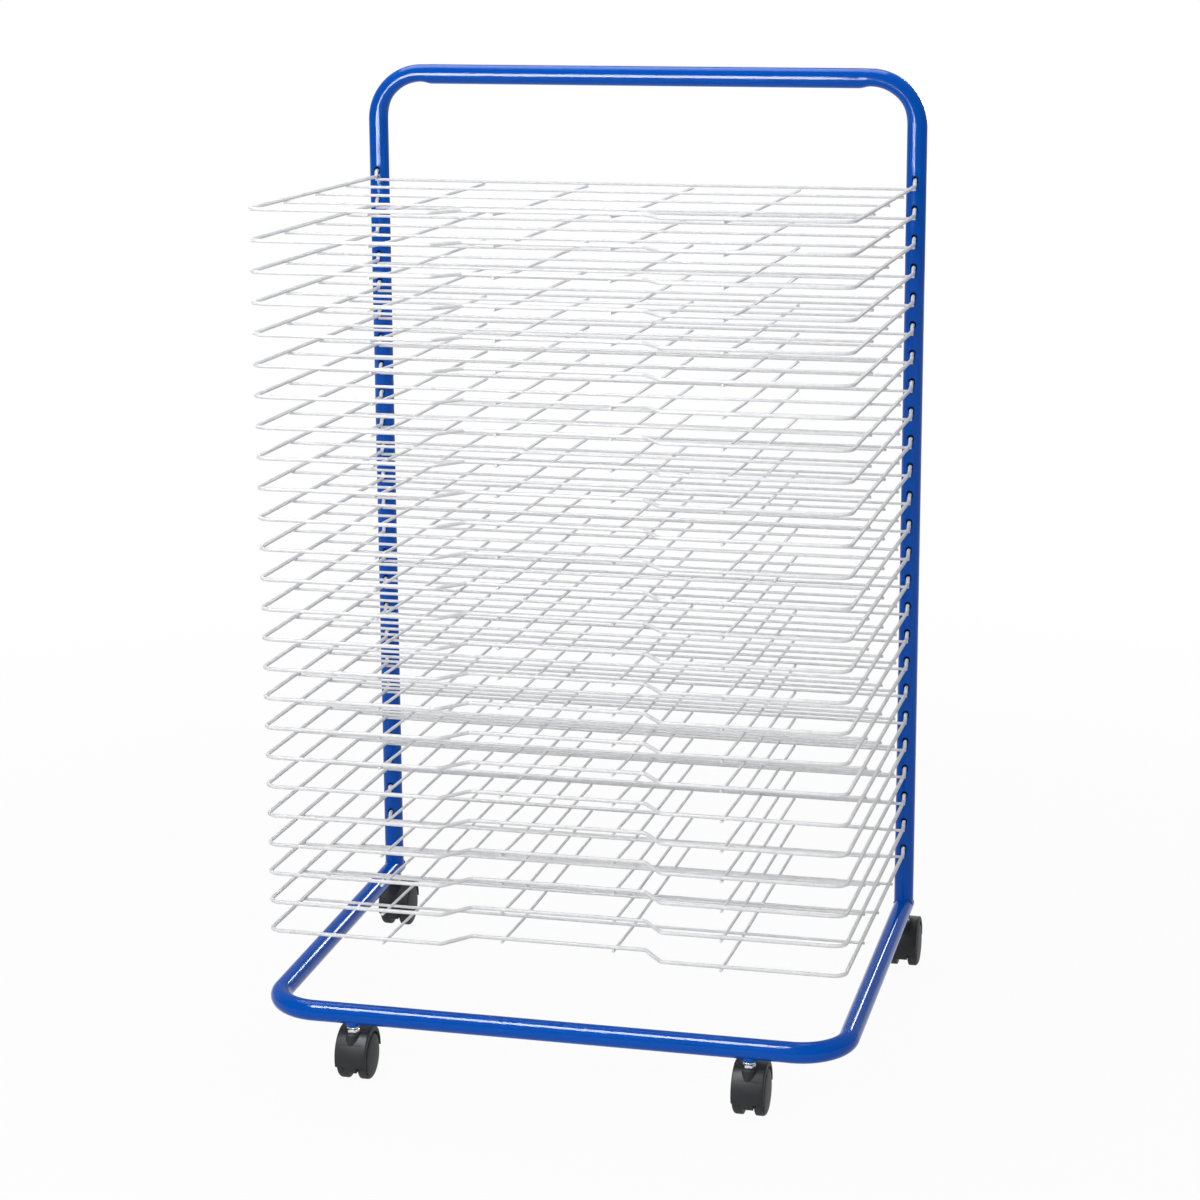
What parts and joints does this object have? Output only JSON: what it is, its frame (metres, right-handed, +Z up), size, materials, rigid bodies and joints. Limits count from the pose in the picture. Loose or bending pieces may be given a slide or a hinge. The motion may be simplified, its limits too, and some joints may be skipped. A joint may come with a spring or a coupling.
{
  "type": "art drying rack",
  "caption": "Mobile art drying rack: a bent blue tube frame on twin-wheel casters carries a tall stack of hinged white wire shelves, each set back at the front for the fingers.",
  "frame": {"origin": "on the floor under the middle of the rack, at the bottom centre of its box", "axes": "+Z up along the posts; +X along the top bar, to the right as seen from the front; +Y from the open front to the posts at the back"},
  "size_m": [0.653, 0.5226, 1.0375],
  "materials": {
    "blue_coat": "gloss powder coat on steel tube",
    "white_coat": "satin white coating on steel wire",
    "black_plastic": "satin moulded black plastic",
    "black_wheel": "satin moulded black plastic wheel",
    "bright_steel": "bright plated steel"
  },
  "bodies": {
    "frame": {"upright_frame": "blue_coat", "base_frame": "blue_coat", "post_plug_left": "bright_steel", "post_plug_right": "bright_steel", "rail_cap_left": "black_plastic", "rail_cap_right": "black_plastic", "caster_stem_front_left": "bright_steel", "caster_nut_front_left": "bright_steel", "caster_stem_front_right": "bright_steel", "caster_nut_front_right": "bright_steel", "caster_stem_rear_left": "bright_steel", "caster_nut_rear_left": "bright_steel", "caster_stem_rear_right": "bright_steel", "caster_nut_rear_right": "bright_steel"},
    "shelf_01": {"shelf_01": "white_coat"},
    "shelf_02": {"shelf_02": "white_coat"},
    "shelf_03": {"shelf_03": "white_coat"},
    "shelf_04": {"shelf_04": "white_coat"},
    "shelf_05": {"shelf_05": "white_coat"},
    "shelf_06": {"shelf_06": "white_coat"},
    "shelf_07": {"shelf_07": "white_coat"},
    "shelf_08": {"shelf_08": "white_coat"},
    "shelf_09": {"shelf_09": "white_coat"},
    "shelf_10": {"shelf_10": "white_coat"},
    "shelf_11": {"shelf_11": "white_coat"},
    "shelf_12": {"shelf_12": "white_coat"},
    "shelf_13": {"shelf_13": "white_coat"},
    "shelf_14": {"shelf_14": "white_coat"},
    "shelf_15": {"shelf_15": "white_coat"},
    "shelf_16": {"shelf_16": "white_coat"},
    "shelf_17": {"shelf_17": "white_coat"},
    "shelf_18": {"shelf_18": "white_coat"},
    "shelf_19": {"shelf_19": "white_coat"},
    "shelf_20": {"shelf_20": "white_coat"},
    "shelf_21": {"shelf_21": "white_coat"},
    "shelf_22": {"shelf_22": "white_coat"},
    "shelf_23": {"shelf_23": "white_coat"},
    "shelf_24": {"shelf_24": "white_coat"},
    "shelf_25": {"shelf_25": "white_coat"},
    "caster_front_left": {"caster_hood_front_left": "black_plastic", "caster_axle_front_left": "bright_steel"},
    "wheel_left_front_left": {"wheel_left_front_left": "black_wheel"},
    "wheel_right_front_left": {"wheel_right_front_left": "black_wheel"},
    "caster_front_right": {"caster_hood_front_right": "black_plastic", "caster_axle_front_right": "bright_steel"},
    "wheel_left_front_right": {"wheel_left_front_right": "black_wheel"},
    "wheel_right_front_right": {"wheel_right_front_right": "black_wheel"},
    "caster_rear_left": {"caster_hood_rear_left": "black_plastic", "caster_axle_rear_left": "bright_steel"},
    "wheel_left_rear_left": {"wheel_left_rear_left": "black_wheel"},
    "wheel_right_rear_left": {"wheel_right_rear_left": "black_wheel"},
    "caster_rear_right": {"caster_hood_rear_right": "black_plastic", "caster_axle_rear_right": "bright_steel"},
    "wheel_left_rear_right": {"wheel_left_rear_right": "black_wheel"},
    "wheel_right_rear_right": {"wheel_right_rear_right": "black_wheel"}
  },
  "joints": [
    {"name": "shelf_25_lift", "type": "hinge", "parent": "frame", "child": "shelf_25", "pos_m": [0, 0.20725, 0.1459], "axis": [-1, 0, 0], "range_deg": [0, 66]},
    {"name": "shelf_24_lift", "type": "hinge", "parent": "frame", "child": "shelf_24", "pos_m": [0, 0.20725, 0.1779], "axis": [-1, 0, 0], "range_deg": [0, 66]},
    {"name": "shelf_23_lift", "type": "hinge", "parent": "frame", "child": "shelf_23", "pos_m": [0, 0.20725, 0.2099], "axis": [-1, 0, 0], "range_deg": [0, 66]},
    {"name": "shelf_22_lift", "type": "hinge", "parent": "frame", "child": "shelf_22", "pos_m": [0, 0.20725, 0.2419], "axis": [-1, 0, 0], "range_deg": [0, 66]},
    {"name": "shelf_21_lift", "type": "hinge", "parent": "frame", "child": "shelf_21", "pos_m": [0, 0.20725, 0.2739], "axis": [-1, 0, 0], "range_deg": [0, 66]},
    {"name": "shelf_20_lift", "type": "hinge", "parent": "frame", "child": "shelf_20", "pos_m": [0, 0.20725, 0.3059], "axis": [-1, 0, 0], "range_deg": [0, 66]},
    {"name": "shelf_19_lift", "type": "hinge", "parent": "frame", "child": "shelf_19", "pos_m": [0, 0.20725, 0.3379], "axis": [-1, 0, 0], "range_deg": [0, 66]},
    {"name": "shelf_18_lift", "type": "hinge", "parent": "frame", "child": "shelf_18", "pos_m": [0, 0.20725, 0.3699], "axis": [-1, 0, 0], "range_deg": [0, 66]},
    {"name": "shelf_17_lift", "type": "hinge", "parent": "frame", "child": "shelf_17", "pos_m": [0, 0.20725, 0.4019], "axis": [-1, 0, 0], "range_deg": [0, 66]},
    {"name": "shelf_16_lift", "type": "hinge", "parent": "frame", "child": "shelf_16", "pos_m": [0, 0.20725, 0.4339], "axis": [-1, 0, 0], "range_deg": [0, 66]},
    {"name": "shelf_15_lift", "type": "hinge", "parent": "frame", "child": "shelf_15", "pos_m": [0, 0.20725, 0.4659], "axis": [-1, 0, 0], "range_deg": [0, 66]},
    {"name": "shelf_14_lift", "type": "hinge", "parent": "frame", "child": "shelf_14", "pos_m": [0, 0.20725, 0.4979], "axis": [-1, 0, 0], "range_deg": [0, 66]},
    {"name": "shelf_13_lift", "type": "hinge", "parent": "frame", "child": "shelf_13", "pos_m": [0, 0.20725, 0.5299], "axis": [-1, 0, 0], "range_deg": [0, 66]},
    {"name": "shelf_12_lift", "type": "hinge", "parent": "frame", "child": "shelf_12", "pos_m": [0, 0.20725, 0.5619], "axis": [-1, 0, 0], "range_deg": [0, 66]},
    {"name": "shelf_11_lift", "type": "hinge", "parent": "frame", "child": "shelf_11", "pos_m": [0, 0.20725, 0.5939], "axis": [-1, 0, 0], "range_deg": [0, 66]},
    {"name": "shelf_10_lift", "type": "hinge", "parent": "frame", "child": "shelf_10", "pos_m": [0, 0.20725, 0.6259], "axis": [-1, 0, 0], "range_deg": [0, 66]},
    {"name": "shelf_09_lift", "type": "hinge", "parent": "frame", "child": "shelf_09", "pos_m": [0, 0.20725, 0.6579], "axis": [-1, 0, 0], "range_deg": [0, 66]},
    {"name": "shelf_08_lift", "type": "hinge", "parent": "frame", "child": "shelf_08", "pos_m": [0, 0.20725, 0.6899], "axis": [-1, 0, 0], "range_deg": [0, 66]},
    {"name": "shelf_07_lift", "type": "hinge", "parent": "frame", "child": "shelf_07", "pos_m": [0, 0.20725, 0.7219], "axis": [-1, 0, 0], "range_deg": [0, 66]},
    {"name": "shelf_06_lift", "type": "hinge", "parent": "frame", "child": "shelf_06", "pos_m": [0, 0.20725, 0.7539], "axis": [-1, 0, 0], "range_deg": [0, 66]},
    {"name": "shelf_05_lift", "type": "hinge", "parent": "frame", "child": "shelf_05", "pos_m": [0, 0.20725, 0.7859], "axis": [-1, 0, 0], "range_deg": [0, 66]},
    {"name": "shelf_04_lift", "type": "hinge", "parent": "frame", "child": "shelf_04", "pos_m": [0, 0.20725, 0.8179], "axis": [-1, 0, 0], "range_deg": [0, 66]},
    {"name": "shelf_03_lift", "type": "hinge", "parent": "frame", "child": "shelf_03", "pos_m": [0, 0.20725, 0.8499], "axis": [-1, 0, 0], "range_deg": [0, 66]},
    {"name": "shelf_02_lift", "type": "hinge", "parent": "frame", "child": "shelf_02", "pos_m": [0, 0.20725, 0.8819], "axis": [-1, 0, 0], "range_deg": [0, 66]},
    {"name": "shelf_01_lift", "type": "hinge", "parent": "frame", "child": "shelf_01", "pos_m": [0, 0.20725, 0.9139], "axis": [-1, 0, 0], "range_deg": [0, 66]},
    {"name": "caster_front_left_swivel", "type": "hinge", "parent": "frame", "child": "caster_front_left", "pos_m": [-0.213, -0.2455, 0.04], "axis": [0, 0, 1], "continuous": true},
    {"name": "wheel_left_front_left_spin", "type": "hinge", "parent": "caster_front_left", "child": "wheel_left_front_left", "pos_m": [-0.213, -0.2315, 0.025], "axis": [1, 0, 0], "continuous": true},
    {"name": "wheel_right_front_left_spin", "type": "hinge", "parent": "caster_front_left", "child": "wheel_right_front_left", "pos_m": [-0.213, -0.2315, 0.025], "axis": [1, 0, 0], "continuous": true},
    {"name": "caster_front_right_swivel", "type": "hinge", "parent": "frame", "child": "caster_front_right", "pos_m": [0.213, -0.2455, 0.04], "axis": [0, 0, 1], "continuous": true},
    {"name": "wheel_left_front_right_spin", "type": "hinge", "parent": "caster_front_right", "child": "wheel_left_front_right", "pos_m": [0.213, -0.2315, 0.025], "axis": [1, 0, 0], "continuous": true},
    {"name": "wheel_right_front_right_spin", "type": "hinge", "parent": "caster_front_right", "child": "wheel_right_front_right", "pos_m": [0.213, -0.2315, 0.025], "axis": [1, 0, 0], "continuous": true},
    {"name": "caster_rear_left_swivel", "type": "hinge", "parent": "frame", "child": "caster_rear_left", "pos_m": [-0.308, 0.2175, 0.04], "axis": [0, 0, 1], "continuous": true},
    {"name": "wheel_left_rear_left_spin", "type": "hinge", "parent": "caster_rear_left", "child": "wheel_left_rear_left", "pos_m": [-0.308, 0.2315, 0.025], "axis": [1, 0, 0], "continuous": true},
    {"name": "wheel_right_rear_left_spin", "type": "hinge", "parent": "caster_rear_left", "child": "wheel_right_rear_left", "pos_m": [-0.308, 0.2315, 0.025], "axis": [1, 0, 0], "continuous": true},
    {"name": "caster_rear_right_swivel", "type": "hinge", "parent": "frame", "child": "caster_rear_right", "pos_m": [0.308, 0.2175, 0.04], "axis": [0, 0, 1], "continuous": true},
    {"name": "wheel_left_rear_right_spin", "type": "hinge", "parent": "caster_rear_right", "child": "wheel_left_rear_right", "pos_m": [0.308, 0.2315, 0.025], "axis": [1, 0, 0], "continuous": true},
    {"name": "wheel_right_rear_right_spin", "type": "hinge", "parent": "caster_rear_right", "child": "wheel_right_rear_right", "pos_m": [0.308, 0.2315, 0.025], "axis": [1, 0, 0], "continuous": true}
  ],
  "couplings": [
    {"joint": "shelf_24_lift", "follows": "shelf_25_lift", "ratio": 1},
    {"joint": "shelf_23_lift", "follows": "shelf_25_lift", "ratio": 1},
    {"joint": "shelf_22_lift", "follows": "shelf_25_lift", "ratio": 1},
    {"joint": "shelf_21_lift", "follows": "shelf_25_lift", "ratio": 1},
    {"joint": "shelf_20_lift", "follows": "shelf_25_lift", "ratio": 1},
    {"joint": "shelf_19_lift", "follows": "shelf_25_lift", "ratio": 1},
    {"joint": "shelf_18_lift", "follows": "shelf_25_lift", "ratio": 1},
    {"joint": "shelf_17_lift", "follows": "shelf_25_lift", "ratio": 1},
    {"joint": "shelf_16_lift", "follows": "shelf_25_lift", "ratio": 1},
    {"joint": "shelf_15_lift", "follows": "shelf_25_lift", "ratio": 1},
    {"joint": "shelf_14_lift", "follows": "shelf_25_lift", "ratio": 1},
    {"joint": "shelf_13_lift", "follows": "shelf_25_lift", "ratio": 1},
    {"joint": "shelf_12_lift", "follows": "shelf_25_lift", "ratio": 1},
    {"joint": "shelf_11_lift", "follows": "shelf_25_lift", "ratio": 1},
    {"joint": "shelf_10_lift", "follows": "shelf_25_lift", "ratio": 1},
    {"joint": "shelf_09_lift", "follows": "shelf_25_lift", "ratio": 1},
    {"joint": "shelf_08_lift", "follows": "shelf_25_lift", "ratio": 1},
    {"joint": "shelf_07_lift", "follows": "shelf_25_lift", "ratio": 1},
    {"joint": "shelf_06_lift", "follows": "shelf_25_lift", "ratio": 1},
    {"joint": "shelf_05_lift", "follows": "shelf_25_lift", "ratio": 1},
    {"joint": "shelf_04_lift", "follows": "shelf_25_lift", "ratio": 1},
    {"joint": "shelf_03_lift", "follows": "shelf_25_lift", "ratio": 1},
    {"joint": "shelf_02_lift", "follows": "shelf_25_lift", "ratio": 1},
    {"joint": "shelf_01_lift", "follows": "shelf_25_lift", "ratio": 1}
  ]
}
